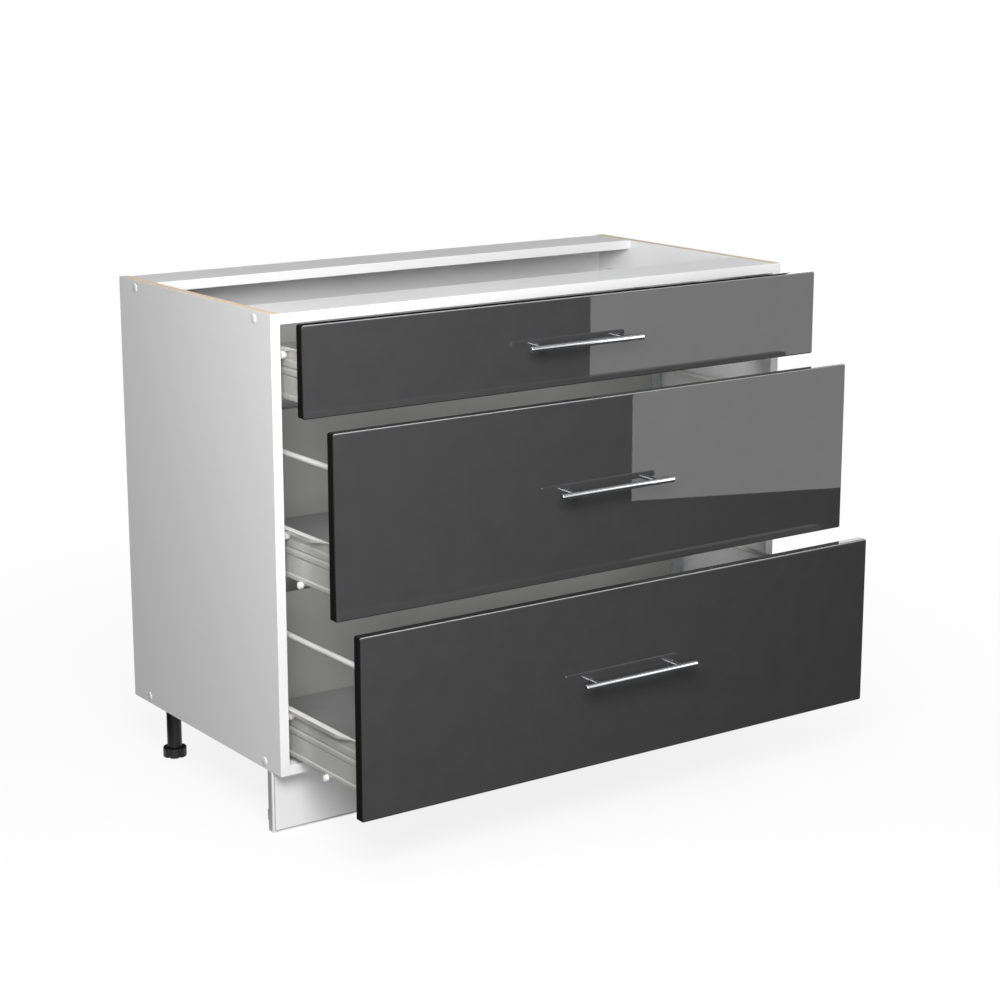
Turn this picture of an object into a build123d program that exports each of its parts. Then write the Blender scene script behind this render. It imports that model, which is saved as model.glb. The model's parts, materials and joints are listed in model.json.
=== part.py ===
from build123d import *
from math import cos, pi
import os

# Kitchen base cabinet, one shallow and two deep pull-outs, shown partly open.
# Millimetres. X runs to the right, Y to the back, Z up. The origin is on the floor,
# in the middle of the cabinet's width, in line with the front edge of the carcass.
# Small round pieces that repeat have few sides, to keep the model light.
hidden_sides = 6                  # screws and dowels in the boards
pin_sides = 10                    # axles, spindles, posts, pegs, cups and caps
tube_sides = 20                   # leg tubes and what holds them

# ---- carcass -----------------------------------------------------------------
cabinet_width = 1000.0
carcass_depth = 500.0
carcass_height = 720.0
plinth_height = 100.0
board = 16.0                      # melamine-faced chipboard
front_rail_depth = 100.0
rear_rail_depth = 90.0
back_thickness = 3.0
back_recess = 9.0                 # open space behind the back panel
groove_depth = 6.0
groove_play = 0.1
pilot_radius = 2.0                # blind holes under the rails for worktop screws
pilot_depth = 10.0
pilot_span = 700.0

# ---- carcass fastenings ------------------------------------------------------
screw_edge = 12.0                 # screw axis from the top or bottom edge of a side panel
screw_radius = 2.0
screw_length = 50.0
screw_head_radius = 4.5
screw_head_height = 3.0
head_play = 0.1
cap_radius = 7.0
cap_thickness = 1.6
dowel_radius = 4.0
dowel_length = 30.0
dowel_in_side = 11.0
dowel_play = 0.05
dowel_offset = 30.0               # along the board, from the screw beside it

# ---- legs and plinth ---------------------------------------------------------
leg_from_side = 40.0              # leg axis to the outer face of the side panel
leg_from_front = 75.0
leg_from_rear = 63.0
leg_radius = 12.5
socket_radius = 28.0
socket_plate = 3.0
collar_radius = 16.5
collar_height = 11.0
collar_play = 0.1
foot_radius = 20.0
foot_height = 16.0
foot_lobes = 6
foot_notch_radius = 3.0
spindle_radius = 5.0
spindle_length = 45.0
spindle_play = 0.08
foot_seat_gap = 0.3               # foot fully screwed in, just short of the tube
plinth_setback = 27.0
plinth_thickness = 16.0
plinth_play = 0.5                 # below the bottom panel
clip_height = 20.0
clip_wall = 3.0
clip_play = 0.1
clip_plate_width = 44.0
clip_plate = 3.0
clip_level = 55.0                 # underside of the clips above the floor
clip_mouth = 18.0                 # snap-on opening at the back of a clip

# ---- fronts and handles ------------------------------------------------------
front_thickness = 16.0
top_reveal = 5.0
side_reveal = 1.5
front_gap = 6.5
top_front_height = 139.0
middle_front_height = 281.0
front_edge = 2.5
handle_length = 220.0
handle_spacing = 160.0
handle_standoff = 26.0            # front face to the axis of the bar
handle_radius = 5.0
handle_bevel = 0.8
post_radius = 4.0
handle_screw_radius = 2.0
handle_screw_hole = 2.25
handle_screw_bite = 12.0
handle_screw_head_radius = 4.5
handle_screw_head = 2.5

# ---- drawers -----------------------------------------------------------------
top_opening = 72.0                # rear face of the front to the carcass, as shown
middle_opening = 154.0
bottom_opening = 219.0
top_side_lift = 13.0              # underside of the drawer above the front's lower edge
middle_side_lift = 24.0
bottom_side_lift = 25.0
drawer_length = 450.0
side_height = 80.0
sheet = 1.2
side_gap = 14.0                   # carcass wall to the flat outer face of a drawer side
bottom_flange = 12.4
lip_swell = 2.0
lip_height = 7.8
bead_out = 1.3                    # ribs rolled into the side, outwards and inwards
bead_in = 0.3
band_out = 1.0
rib_low_drop = 42.0               # ribs and flat band of the side, below the rim
rib_high_drop = 32.0
band_low_drop = 29.5
band_high_drop = 15.5
rib_flank = 2.0
rim_reach = 11.0                  # outward flange that runs on the front roller
rim_fold = 2.4                    # the flange is folded double
rim_drop = 6.0                    # hem along its straight part
taper_start = 90.0                # behind the front, where the rim begins to narrow
taper_end = 45.0
taper_reach = 3.0
deep_back_height = 200.0
back_top_drop = 2.0               # back of the shallow drawer below the rim
inner_play = 0.6                  # boards to the flat inside of the steel sides
bracket_sheet = 1.5
bracket_leaf = 22.0
bracket_tongue = 58.0
rear_tongue = 30.0
bracket_foot = 3.0                # brackets above the drawer bottom
bracket_drop = 5.0                # brackets below the rim
peg_from_front = 125.0
peg_radius = 5.5
peg_head = 7.0
peg_stub_radius = 2.5
peg_stub_length = 14.0
peg_plug_radius = 2.0
peg_plug_depth = 8.0
peg_play = 0.1
peg_lip_gap = 0.5
rod_radius = 4.5
rod_level = 189.0                 # above the underside of the drawer
rod_from_wall = 24.0              # rod axis to the carcass wall
rod_play = 0.1
cup_radius = 8.0
cup_length = 14.0
cup_floor = 2.0

# ---- runners -----------------------------------------------------------------
rail_setback = 2.0
rail_length = 450.0
rail_sheet = 1.2
rail_foot = 42.0                  # lower edge of the rail below the drawer's rim
rail_lower_reach = 12.0
rail_upper_reach = 10.0
rail_upper_gap = 1.0              # between the rail and the rim above it
rail_nose = 24.0                  # both flanges are cut away round the front roller
roller_radius = 8.0
roller_width = 7.2
roller_rim_gap = 0.3
roller_setback = 10.0             # front roller axis behind the carcass edge
roller_bore_play = 0.05
axle_radius = 2.45
axle_head_radius = 3.0
axle_head = 0.9
axle_end_play = 0.15
roller_wall_gap = 5.0             # front roller to the carcass wall
rear_roller_radius = 7.5
rear_roller_wall_gap = 4.0
rear_roller_inset = 12.0          # rear roller axis to the end of the drawer side
channel_play = 0.2                # rear roller to either flange of the rail

# ---- worked out from the sizes above -----------------------------------------
inner_half = cabinet_width / 2 - board
carcass_top = plinth_height + carcass_height
back_front_face = carcass_depth - back_recess - back_thickness
rear_rail_front = back_front_face - rear_rail_depth
top_board_level = carcass_top - board
front_screw_line = front_rail_depth / 2
rear_screw_line = rear_rail_front + rear_rail_depth / 2
side_centre = side_gap + sheet / 2
board_half = inner_half - side_gap - sheet - inner_play
bottom_board_base = sheet
bottom_board_top = sheet + board
rim_under = side_height - rim_fold
roller_level = rim_under - roller_rim_gap - roller_radius
channel_top = side_height - rim_drop - rail_upper_gap - rail_sheet
rear_roller_level = channel_top - channel_play - rear_roller_radius
channel_floor = rear_roller_level - rear_roller_radius - channel_play

drawers = ["top", "middle", "bottom"]
deep_drawers = ["middle", "bottom"]
opening = {"top": top_opening, "middle": middle_opening, "bottom": bottom_opening}
side_lift = {"top": top_side_lift, "middle": middle_side_lift, "bottom": bottom_side_lift}
front_top = {"top": carcass_top - top_reveal}
front_base = {"top": front_top["top"] - top_front_height}
front_top["middle"] = front_base["top"] - front_gap
front_base["middle"] = front_top["middle"] - middle_front_height
front_top["bottom"] = front_base["middle"] - front_gap
front_base["bottom"] = plinth_height
drawer_base = {name: front_base[name] + side_lift[name] for name in drawers}

os.makedirs("parts", exist_ok=True)


def block(x, y, z):
    """A box from three pairs of limits."""
    size = Box(x[1] - x[0], y[1] - y[0], z[1] - z[0])
    return Pos((x[0] + x[1]) / 2, (y[0] + y[1]) / 2, (z[0] + z[1]) / 2) * size


def pin(radius, start, end, sides=None):
    """A round bar between two points, or one with that many sides."""
    way = Vector(*end) - Vector(*start)
    section = RegularPolygon(radius, sides) if sides else Circle(radius)
    section = Plane(origin=start, z_dir=way) * section
    return extrude(section, amount=way.length, dir=way)


def bore_radius(radius, sides):
    """Corner radius of a many-sided bore in which something of that radius can turn."""
    return radius / cos(pi / sides)


def mirrored(piece):
    return mirror(piece, Plane.YZ)


def both_sides(piece):
    return [piece, mirrored(piece)]


def save(name, *pieces):
    solids = [solid for piece in pieces for solid in piece.solids()]
    export_step(Compound(children=solids, label=name), "parts/" + name + ".step")


def from_wall(distance):
    """X of something that far inside the left carcass wall."""
    return distance - inner_half


# ---- carcass -----------------------------------------------------------------
def screw_places():
    """Y and Z of the screws through a side panel."""
    levels = [plinth_height + screw_edge, carcass_top - screw_edge]
    return [(y, z) for z in levels for y in (front_screw_line, rear_screw_line)]


def dowel_places():
    """Y and Z of the dowels, each in the middle of its board's thickness."""
    lines = [front_screw_line + dowel_offset, rear_screw_line - dowel_offset]
    levels = [plinth_height + board / 2, carcass_top - board / 2]
    return [(y, z) for z in levels for y in lines]


def left_screw(y, z, play=0.0):
    face = -cabinet_width / 2
    shank = pin(screw_radius, (face, y, z), (face + screw_length, y, z), hidden_sides)
    head = pin(screw_head_radius + play, (face, y, z), (face + screw_head_height, y, z), hidden_sides)
    return shank + head


def left_dowel(y, z, play=0.0):
    end = -inner_half - dowel_in_side
    return pin(dowel_radius + play, (end, y, z), (end + dowel_length, y, z), hidden_sides)


def fastener_holes():
    holes = [left_screw(y, z, play=head_play) for y, z in screw_places()]
    holes += [left_dowel(y, z, dowel_play) for y, z in dowel_places()]
    return holes


def side_panel():
    panel = block((-cabinet_width / 2, -inner_half), (0, carcass_depth), (plinth_height, carcass_top))
    groove = block(
        (-inner_half - groove_depth - groove_play, -inner_half),
        (back_front_face, back_front_face + back_thickness + groove_play),
        (plinth_height, carcass_top),
    )
    panel -= groove
    for hole in fastener_holes():
        panel -= hole
    return panel


def cross_board(depth, level):
    """A board between the side panels, bored for its fasteners at both ends."""
    piece = block((-inner_half, inner_half), depth, (level, level + board))
    for hole in fastener_holes():
        piece -= hole
        piece -= mirrored(hole)
    return piece


def pilot_holes(line):
    piece = None
    for x in (-pilot_span / 2, pilot_span / 2):
        hole = pin(pilot_radius, (x, line, top_board_level), (x, line, top_board_level + pilot_depth))
        piece = hole if piece is None else piece + hole
    return piece


def cover_cap(y, z):
    face = -cabinet_width / 2
    return pin(cap_radius, (face, y, z), (face - cap_thickness, y, z), pin_sides)


def build_carcass():
    panel = side_panel()
    save("side_panel_left", panel)
    save("side_panel_right", mirrored(panel))
    save("bottom_panel", cross_board((0, back_front_face), plinth_height))
    front = cross_board((0, front_rail_depth), top_board_level)
    save("front_rail", front - pilot_holes(front_screw_line))
    rear = cross_board((rear_rail_front, back_front_face), top_board_level)
    save("rear_rail", rear - pilot_holes(rear_screw_line))
    reach = inner_half + groove_depth
    back = block(
        (-reach, reach), (back_front_face, back_front_face + back_thickness), (plinth_height, carcass_top)
    )
    save("back_panel", back)
    caps = [cap for y, z in screw_places() for cap in both_sides(cover_cap(y, z))]
    save("cover_caps", *caps)
    screws = [screw for y, z in screw_places() for screw in both_sides(left_screw(y, z))]
    save("panel_screws", *screws)
    dowels = [dowel for y, z in dowel_places() for dowel in both_sides(left_dowel(y, z))]
    save("wooden_dowels", *dowels)


# ---- legs and plinth ---------------------------------------------------------
leg_x = cabinet_width / 2 - leg_from_side
leg_lines = {"front": leg_from_front, "rear": carcass_depth - leg_from_rear}
tube_base = foot_height + foot_seat_gap
tube_top = plinth_height - socket_plate


def leg_socket(x, y):
    mouth = plinth_height - collar_height
    plate = pin(socket_radius, (x, y, tube_top), (x, y, plinth_height), pin_sides)
    collar = pin(collar_radius, (x, y, mouth), (x, y, tube_top), pin_sides)
    bore = pin(leg_radius + collar_play, (x, y, mouth), (x, y, tube_top), tube_sides)
    return plate + (collar - bore)


def leg_tube(x, y):
    tube = pin(leg_radius, (x, y, tube_base), (x, y, tube_top), tube_sides)
    return tube - pin(spindle_radius + spindle_play, (x, y, tube_base), (x, y, tube_top), pin_sides)


def leg_foot(x, y):
    """Lobed foot with the spindle that screws up into the leg tube."""
    puck = pin(foot_radius, (x, y, 0), (x, y, foot_height), tube_sides)
    notch = pin(foot_notch_radius, (foot_radius, 0, 0), (foot_radius, 0, foot_height), hidden_sides)
    for lobe in range(foot_lobes):
        puck -= Pos(x, y, 0) * (Rot(0, 0, 360 / foot_lobes * (lobe + 0.5)) * notch)
    top = foot_height + spindle_length
    return puck + pin(spindle_radius, (x, y, foot_height), (x, y, top), pin_sides)


def plinth_clip(x):
    """Plate on the plinth's back with a C that snaps round the front leg."""
    y = leg_from_front
    inner = leg_radius + clip_play
    outer = inner + clip_wall
    levels = (clip_level, clip_level + clip_height)
    face = plinth_setback + plinth_thickness
    ring = pin(outer, (x, y, levels[0]), (x, y, levels[1]), tube_sides)
    web = block((x - clip_wall, x + clip_wall), (face, y), levels)
    plate = block((x - clip_plate_width / 2, x + clip_plate_width / 2), (face, face + clip_plate), levels)
    clip = ring + web + plate
    clip -= pin(inner, (x, y, levels[0]), (x, y, levels[1]), tube_sides)
    return clip - block((x - clip_mouth / 2, x + clip_mouth / 2), (y, y + outer), levels)


def build_base():
    places = [(side * leg_x, y) for y in leg_lines.values() for side in (-1, 1)]
    save("leg_sockets", *[leg_socket(x, y) for x, y in places])
    save("leg_tubes", *[leg_tube(x, y) for x, y in places])
    for line, y in leg_lines.items():
        save("leg_foot_" + line + "_left", leg_foot(-leg_x, y))
        save("leg_foot_" + line + "_right", leg_foot(leg_x, y))
    board_levels = (0, plinth_height - plinth_play)
    half = cabinet_width / 2
    plinth = block((-half, half), (plinth_setback, plinth_setback + plinth_thickness), board_levels)
    save("plinth_board", plinth)
    save("plinth_clips", plinth_clip(-leg_x), plinth_clip(leg_x))


# ---- fronts and handles ------------------------------------------------------
def front_panel(name):
    rear = -opening[name]
    half = cabinet_width / 2 - side_reveal
    panel = block((-half, half), (rear - front_thickness, rear), (front_base[name], front_top[name]))
    panel = fillet(panel.faces().sort_by(Axis.Y)[0].edges(), front_edge)
    level = handle_level(name)
    for x in (-handle_spacing / 2, handle_spacing / 2):
        ends = (x, rear - front_thickness, level), (x, rear, level)
        panel -= pin(handle_screw_hole, *ends, hidden_sides)
    return panel


def handle_level(name):
    return (front_top[name] + front_base[name]) / 2


def handle_line(name):
    return -opening[name] - front_thickness - handle_standoff


def handle_bar(name):
    y, z = handle_line(name), handle_level(name)
    bar = pin(handle_radius, (-handle_length / 2, y, z), (handle_length / 2, y, z))
    return chamfer(bar.edges().filter_by(GeomType.CIRCLE), handle_bevel)


def handle_post(name, x):
    """Post with a saddle for the bar and a bore for its screw."""
    y, z = handle_line(name), handle_level(name)
    root = y + handle_standoff
    post = pin(post_radius, (x, y, z), (x, root, z), pin_sides)
    post -= pin(handle_radius, (x - handle_length, y, z), (x + handle_length, y, z))
    return post - pin(handle_screw_radius, (x, root - handle_screw_bite, z), (x, root, z), hidden_sides)


def handle_screw(name, x):
    z = handle_level(name)
    rear = -opening[name]
    start = rear - front_thickness - handle_screw_bite
    shank = pin(handle_screw_radius, (x, start, z), (x, rear, z), hidden_sides)
    return shank + pin(handle_screw_head_radius, (x, rear, z), (x, rear + handle_screw_head, z), pin_sides)


def build_front(name):
    save("front_" + name, front_panel(name))
    save("handle_bar_" + name, handle_bar(name))
    places = (-handle_spacing / 2, handle_spacing / 2)
    posts = [handle_post(name, x) for x in places]
    screws = [handle_screw(name, x) for x in places]
    save("handle_posts_" + name, *posts, *screws)


# ---- drawers -----------------------------------------------------------------
def side_profile(base):
    """Roll-formed side as one bent strip: foot flange, swollen lip, rib, flat band."""
    c = side_centre
    half = sheet / 2
    rib_low = side_height - rib_low_drop
    rib_high = side_height - rib_high_drop
    band_low = side_height - band_low_drop
    band_high = side_height - band_high_drop
    strip = [
        (c + bottom_flange + sheet, half),
        (c - lip_swell / 2, half),
        (c - lip_swell, half + lip_swell / 2),
        (c - lip_swell, lip_height - lip_swell),
        (c, lip_height),
        (c, rib_low - rib_flank),
        (c + bead_in, rib_low),
        (c - bead_out, rib_low + rib_flank),
        (c - bead_out, rib_high - rib_flank),
        (c + bead_in, rib_high),
        (c - band_out, band_low),
        (c - band_out, band_high),
        (c, band_high + rib_flank),
        (c, side_height + sheet),
    ]
    path = Polyline(*[(from_wall(s), 0, base + v) for s, v in strip])
    outline = Wire(path.edges()).offset_2d(half, kind=Kind.INTERSECTION, side=Side.BOTH, closed=True)
    return Face(outline)


def rim_shape(front, level):
    """Plan of the flange, from the side's centre line to its edge, narrower near the front."""
    inner = from_wall(side_centre)
    edge = from_wall(side_centre - sheet / 2 - rim_reach)
    narrow = from_wall(side_centre - sheet / 2 - taper_reach)
    middle = front + (taper_start + taper_end) / 2
    rear = front + drawer_length
    start, end = front + taper_start, front + taper_end
    curve = Bezier((edge, start, level), (edge, middle, level), (narrow, middle, level), (narrow, end, level))
    rest = Polyline(
        (narrow, end, level),
        (narrow, front, level),
        (inner, front, level),
        (inner, rear, level),
        (edge, rear, level),
        (edge, start, level),
    )
    return Face(Wire(curve.edges() + rest.edges()))


def drawer_side(name):
    """Left steel side, with its rim, the pin of its rear roller and the hole for the peg."""
    front, base = -opening[name], drawer_base[name]
    wall = extrude(side_profile(base), amount=drawer_length, dir=(0, 1, 0))
    trimmed = (from_wall(0), from_wall(side_centre + bottom_flange))
    wall &= block(trimmed, (0, drawer_length), (base, base + side_height))
    wall = Pos(0, front, 0) * wall
    rim = extrude(rim_shape(front, base + rim_under), amount=rim_fold, dir=(0, 0, 1))
    edge = from_wall(side_centre - sheet / 2 - rim_reach)
    top = base + side_height
    hem = block((edge, edge + sheet), (front + taper_start, front + drawer_length), (top - rim_drop, top))
    side = wall + rim + hem
    y, z = front + drawer_length - rear_roller_inset, base + rear_roller_level
    head = rear_roller_wall_gap - axle_end_play
    side += pin(axle_radius, (from_wall(side_centre), y, z), (from_wall(head), y, z), pin_sides)
    side += pin(axle_head_radius, (from_wall(head), y, z), (from_wall(head - axle_head), y, z), pin_sides)
    x, y = peg_plug_x(), front + peg_from_front
    return side - pin(peg_plug_radius + peg_play, (x, y, base), (x, y, base + sheet), hidden_sides)


def peg_plug_x():
    return from_wall(side_centre + bottom_flange / 2)


def drawer_bottom(name):
    front, base = -opening[name], drawer_base[name]
    panel = block(
        (-board_half, board_half),
        (front, front + drawer_length),
        (base + bottom_board_base, base + bottom_board_top),
    )
    y = front + peg_from_front
    for x in (peg_plug_x(), -peg_plug_x()):
        low = base + bottom_board_base
        panel -= pin(peg_plug_radius + peg_play, (x, y, low), (x, y, low + peg_plug_depth), hidden_sides)
    return panel


def back_height(name):
    return deep_back_height if name in deep_drawers else side_height - back_top_drop


def drawer_back(name):
    rear, base = drawer_length - opening[name], drawer_base[name]
    levels = (base + bottom_board_top, base + back_height(name))
    return block((-board_half, board_half), (rear - board, rear), levels)


def support_peg(name):
    """Nylon peg under the side: head outside the lip, stub below it, plug up into the bottom board."""
    y, base = peg_from_front - opening[name], drawer_base[name]
    axis = base - peg_stub_radius
    outer = from_wall(side_centre - lip_swell - sheet / 2 - peg_lip_gap)
    peg = pin(peg_radius, (outer - peg_head, y, axis), (outer, y, axis), pin_sides)
    peg += pin(peg_stub_radius, (outer, y, axis), (outer + peg_stub_length, y, axis), pin_sides)
    x = peg_plug_x()
    top = base + bottom_board_base + peg_plug_depth - peg_play
    return peg + pin(peg_plug_radius, (x, y, axis), (x, y, top), hidden_sides)


def front_bracket(name):
    """Angle between the front's back and the inside of the steel side."""
    front, base = -opening[name], drawer_base[name]
    start = inner_half - board_half
    levels = (base + bottom_board_top + bracket_foot, base + side_height - bracket_drop)
    leaf = block((from_wall(start), from_wall(start + bracket_leaf)), (front, front + bracket_sheet), levels)
    tongue = block(
        (from_wall(start), from_wall(start + bracket_sheet)), (front, front + bracket_tongue), levels
    )
    return leaf + tongue


def rear_bracket(name):
    """Angle between the steel side and the drawer back; tall where it holds a rod."""
    face, base = drawer_length - opening[name] - board, drawer_base[name]
    start = inner_half - board_half
    low = base + bottom_board_top + bracket_foot
    high = base + side_height - bracket_drop
    tongue = block((from_wall(start), from_wall(start + bracket_sheet)), (face - rear_tongue, face), (low, high))
    if name in deep_drawers:
        high = base + deep_back_height
    leaf = block((from_wall(start), from_wall(start + bracket_leaf)), (face - bracket_sheet, face), (low, high))
    return leaf + tongue


def rod_span(name):
    """Y of the front's back and of the rear bracket's face, between which a rod is held."""
    front = -opening[name]
    return front, front + drawer_length - board - bracket_sheet


def gallery_rod(name):
    start, end = rod_span(name)
    x, z = from_wall(rod_from_wall), drawer_base[name] + rod_level
    return pin(rod_radius, (x, start + cup_floor, z), (x, end - cup_floor, z))


def rod_cup(name, face, way):
    """Socket on the front or on the rear bracket that takes one end of a rod."""
    x, z = from_wall(rod_from_wall), drawer_base[name] + rod_level
    mouth, floor = face + way * cup_length, face + way * cup_floor
    cup = pin(cup_radius, (x, face, z), (x, mouth, z), pin_sides)
    hollow = bore_radius(rod_radius + rod_play, pin_sides)
    return cup - pin(hollow, (x, floor, z), (x, mouth, z), pin_sides)


def build_drawer(name):
    side = drawer_side(name)
    save("drawer_side_left_" + name, side)
    save("drawer_side_right_" + name, mirrored(side))
    save("drawer_bottom_" + name, drawer_bottom(name))
    save("drawer_back_" + name, drawer_back(name))
    brackets = both_sides(front_bracket(name)) + both_sides(rear_bracket(name))
    save("drawer_brackets_" + name, *brackets)
    save("support_pegs_" + name, *both_sides(support_peg(name)))
    if name in deep_drawers:
        save("gallery_rods_" + name, *both_sides(gallery_rod(name)))
        start, end = rod_span(name)
        cups = both_sides(rod_cup(name, start, 1)) + both_sides(rod_cup(name, end, -1))
        save("rod_cups_" + name, *cups)


# ---- runners -----------------------------------------------------------------
def cabinet_rail(name):
    """Left C rail on the carcass wall, its flanges cut away round the front roller."""
    base = drawer_base[name]
    start, end = rail_setback, rail_setback + rail_length
    low = base + side_height - rail_foot
    top = base + channel_top + rail_sheet
    floor = base + channel_floor
    web = block((from_wall(0), from_wall(rail_sheet)), (start, end), (low, top))
    lower = block(
        (from_wall(0), from_wall(rail_lower_reach)), (start + rail_nose, end), (floor - rail_sheet, floor)
    )
    upper = block(
        (from_wall(0), from_wall(rail_upper_reach)), (start + rail_nose, end), (top - rail_sheet, top)
    )
    hem = block(
        (from_wall(rail_lower_reach - rail_sheet), from_wall(rail_lower_reach)),
        (start + rail_nose, end),
        (floor - rail_sheet, floor),
    )
    y, z = roller_setback, base + roller_level
    far = roller_wall_gap + roller_width + axle_end_play
    near = roller_wall_gap - axle_end_play
    axle = pin(axle_radius, (from_wall(0), y, z), (from_wall(far), y, z), pin_sides)
    head = pin(axle_head_radius, (from_wall(far), y, z), (from_wall(far + axle_head), y, z), pin_sides)
    collar = pin(axle_head_radius, (from_wall(0), y, z), (from_wall(near), y, z), hidden_sides)
    return web + lower + upper + hem + axle + head + collar


def roller(radius, wall_gap, y, z):
    ends = (from_wall(wall_gap), y, z), (from_wall(wall_gap + roller_width), y, z)
    bore = bore_radius(axle_radius + roller_bore_play, pin_sides)
    return pin(radius, *ends) - pin(bore, *ends, pin_sides)


def build_runner(name):
    base = drawer_base[name]
    rail = cabinet_rail(name)
    save("cabinet_rail_left_" + name, rail)
    save("cabinet_rail_right_" + name, mirrored(rail))
    front = roller(roller_radius, roller_wall_gap, roller_setback, base + roller_level)
    save("front_rollers_" + name, *both_sides(front))
    y = drawer_length - opening[name] - rear_roller_inset
    rear = roller(rear_roller_radius, rear_roller_wall_gap, y, base + rear_roller_level)
    save("rear_rollers_" + name, *both_sides(rear))


build_carcass()
build_base()
for drawer in drawers:
    build_front(drawer)
    build_drawer(drawer)
    build_runner(drawer)
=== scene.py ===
import json
from math import atan2, cos, degrees, pi, radians, sin

import bmesh
import bpy
from mathutils import Matrix, Vector

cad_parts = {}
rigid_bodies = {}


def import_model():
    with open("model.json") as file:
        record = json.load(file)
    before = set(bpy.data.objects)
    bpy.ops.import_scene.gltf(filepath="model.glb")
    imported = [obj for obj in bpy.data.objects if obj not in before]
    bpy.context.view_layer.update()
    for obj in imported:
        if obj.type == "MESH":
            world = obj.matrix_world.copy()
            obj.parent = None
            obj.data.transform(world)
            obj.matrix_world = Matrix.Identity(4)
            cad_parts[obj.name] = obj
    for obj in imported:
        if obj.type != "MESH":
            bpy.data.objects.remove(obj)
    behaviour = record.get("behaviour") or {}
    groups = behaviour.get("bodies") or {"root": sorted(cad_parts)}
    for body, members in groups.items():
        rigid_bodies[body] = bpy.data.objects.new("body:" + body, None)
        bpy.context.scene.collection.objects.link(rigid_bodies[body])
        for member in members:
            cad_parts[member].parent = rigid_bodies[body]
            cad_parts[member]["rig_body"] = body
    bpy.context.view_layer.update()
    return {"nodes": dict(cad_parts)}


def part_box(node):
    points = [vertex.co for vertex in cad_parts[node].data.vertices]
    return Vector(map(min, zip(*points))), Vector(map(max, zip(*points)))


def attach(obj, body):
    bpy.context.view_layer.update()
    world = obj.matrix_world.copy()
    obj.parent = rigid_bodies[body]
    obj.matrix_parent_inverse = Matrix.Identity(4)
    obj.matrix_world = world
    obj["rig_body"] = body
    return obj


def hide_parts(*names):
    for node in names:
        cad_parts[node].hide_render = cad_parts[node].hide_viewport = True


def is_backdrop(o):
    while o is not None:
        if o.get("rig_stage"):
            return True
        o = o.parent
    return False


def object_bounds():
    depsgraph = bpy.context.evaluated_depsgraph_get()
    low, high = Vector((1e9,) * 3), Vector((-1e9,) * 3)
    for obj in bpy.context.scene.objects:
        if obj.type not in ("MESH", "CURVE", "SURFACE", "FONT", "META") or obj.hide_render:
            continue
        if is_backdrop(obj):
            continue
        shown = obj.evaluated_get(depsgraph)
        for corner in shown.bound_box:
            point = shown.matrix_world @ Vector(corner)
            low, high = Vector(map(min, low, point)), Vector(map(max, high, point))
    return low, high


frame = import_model()
nodes = frame["nodes"]
mm = 0.001
drawers = ["top", "middle", "bottom"]
deepDrawers = ["middle", "bottom"]
hands = {"left": -1, "right": 1}
outerAt, wallAt = 500.0, 484.0  # outer and inner face of a side panel, in mm from the middle
weld = 0.001 * mm  # vertices nearer to each other than this are one
nearly = 0.01 * mm  # as good as level


# materials read Object coordinates, which are in metres; the sizes given here are in mm
def linear(code):  # sRGB hex to the linear colour that a shader takes
    parts = [int(code[i:i + 2], 16) / 255 for i in (1, 3, 5)]
    return [c / 12.92 if c <= 0.04045 else ((c + 0.055) / 1.055) ** 2.4 for c in parts] + [1.0]


def feed(tree, node, feeds):
    # values or links for a node's inputs: a list in their order, or a dictionary
    for key, value in feeds.items() if isinstance(feeds, dict) else enumerate(feeds):
        if isinstance(value, bpy.types.NodeSocket):
            tree.links.new(value, node.inputs[key])
        else:
            node.inputs[key].default_value = value


def addNode(tree, kind, feeds=(), out=0, **settings):
    # a new node with its settings and feeds; gives back one of its outputs
    node = tree.nodes.new("ShaderNode" + kind)
    for key, value in settings.items():
        setattr(node, key, value)
    feed(tree, node, feeds)
    return node.outputs[out]


colourMix = {"data_type": "RGBA", "out": 2}  # a Mix of the colours 6 and 7, shared by 0
noiseSpan = (0.3, 0.7)  # nearly all of a noise lies in here


def startMaterial(name):
    material = bpy.data.materials.new(name)
    material.use_nodes = True
    tree = material.node_tree
    return material, tree, tree.nodes["Principled BSDF"], addNode(tree, "TexCoord", out="Object")


def lumps(place, size, detail=2.0):  # feeds of a noise with lumps of that size
    return {"Vector": place, "Scale": 1 / (size * mm), "Detail": detail, "Roughness": 0.55}


def edgeMask(tree, width):  # 1 on the edges, for rub wear and for painted edge highlights, 0 on the flats
    rounded = addNode(tree, "Bevel", {"Radius": width * mm}, samples=4)
    true = addNode(tree, "NewGeometry", out="Normal")
    match = addNode(tree, "VectorMath", [rounded, true], "Value", operation="DOT_PRODUCT")
    return addNode(tree, "MapRange", [match, 0.9, 0.995, 1, 0])


def facing(tree, axis, start=0.6, end=0.8):  # 1 on faces that look along one axis
    normal = addNode(tree, "NewGeometry", out="Normal")
    along = addNode(tree, "VectorMath", [normal, axis], "Value", operation="DOT_PRODUCT")
    return addNode(tree, "MapRange", [along, start, end, 0, 1])


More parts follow.
